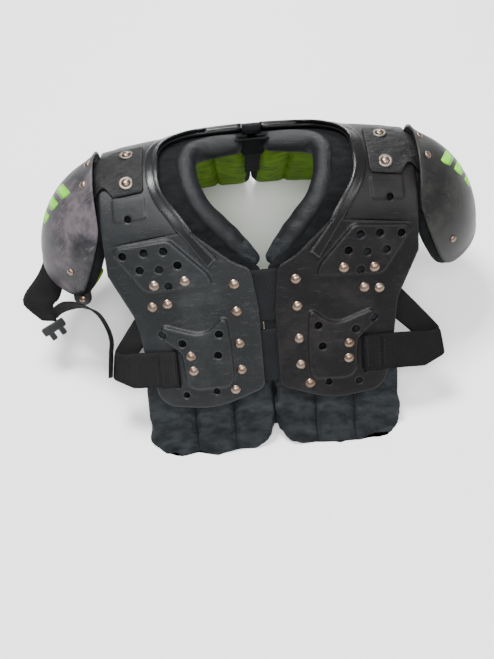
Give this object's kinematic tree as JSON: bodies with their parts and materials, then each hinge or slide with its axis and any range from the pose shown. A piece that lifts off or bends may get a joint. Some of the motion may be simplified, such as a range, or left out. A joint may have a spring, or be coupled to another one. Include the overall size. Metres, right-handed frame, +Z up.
{
  "type": "shoulder pads",
  "caption": "Youth shoulder pads: riveted plastic chest and back shells, hinged shoulder caps, foam body pads, neck rolls and webbing belts.",
  "frame": {"origin": "on the floor, on the midline, under the ridge where the shells go over the shoulders", "axes": "+X across the shoulders to the right as seen facing the chest, -Y the chest side, +Z up"},
  "size_m": [0.4844, 0.4068, 0.2301],
  "materials": {
    "cap": "scuffed gloss",
    "elastic": "flat woven elastic",
    "hook": "moulded",
    "lining": "knitted mesh",
    "mesh": "knitted mesh",
    "nylon": "smooth woven nylon",
    "plate": "satin",
    "rivet": "nickel over copper",
    "shell": "scuffed satin",
    "trim": "gloss",
    "vinyl": "fine grain",
    "webbing": "ribbed webbing"
  },
  "bodies": {
    "left_half": {"back_lower_band": "elastic", "back_upper_band": "elastic", "front_lower_band": "elastic", "front_upper_band": "elastic", "left_arm_strap": "webbing", "left_back_pad": "mesh", "left_back_rivets": "rivet", "left_back_strap": "webbing", "left_belt_rivets": "rivet", "left_boss_rivets": "rivet", "left_flap_fasteners": "rivet", "left_front_belt": "webbing", "left_front_pad": "mesh", "left_hinge_flap": "vinyl", "left_inner_rivets": "rivet", "left_neck_roll": "nylon", "left_neck_strip": "trim", "left_pair_rivets": "rivet", "left_shell": "shell", "left_shoulder_pad": "mesh", "left_strap_hook": "hook", "left_strap_rivets": "rivet"},
    "left_cap": {"left_cap": "cap", "left_cap_flap": "vinyl", "left_cap_pad": "lining", "left_cap_rivets": "rivet", "left_cap_tongue": "plate"},
    "right_half": {"right_back_pad": "mesh", "right_back_rivets": "rivet", "right_back_strap": "webbing", "right_belt_rivets": "rivet", "right_boss_rivets": "rivet", "right_flap_fasteners": "rivet", "right_front_belt": "webbing", "right_front_pad": "mesh", "right_hinge_flap": "vinyl", "right_inner_rivets": "rivet", "right_neck_roll": "nylon", "right_neck_strip": "trim", "right_pair_rivets": "rivet", "right_shell": "shell", "right_shoulder_pad": "mesh", "right_strap_hook": "hook", "right_strap_rivets": "rivet"},
    "right_cap": {"right_cap": "cap", "right_cap_flap": "vinyl", "right_cap_pad": "lining", "right_cap_rivets": "rivet"}
  },
  "joints": [
    {"name": "front_opening", "type": "hinge", "parent": "left_half", "child": "right_half", "pos_m": [0, 0.17122, 0.04546], "axis": [0, -0.5736, 0.8192], "range_deg": [0, 6], "stiffness_Nm_per_rad": 4, "deforming": ["back_lower_band", "back_upper_band", "front_lower_band", "front_upper_band"]},
    {"name": "left_cap_lift", "type": "hinge", "parent": "left_half", "child": "left_cap", "pos_m": [-0.154, 0, 0.2174], "axis": [0, 1, 0], "range_deg": [0, 60]},
    {"name": "right_cap_lift", "type": "hinge", "parent": "right_half", "child": "right_cap", "pos_m": [0.154, 0, 0.2174], "axis": [0, -1, 0], "range_deg": [0, 60]}
  ]
}
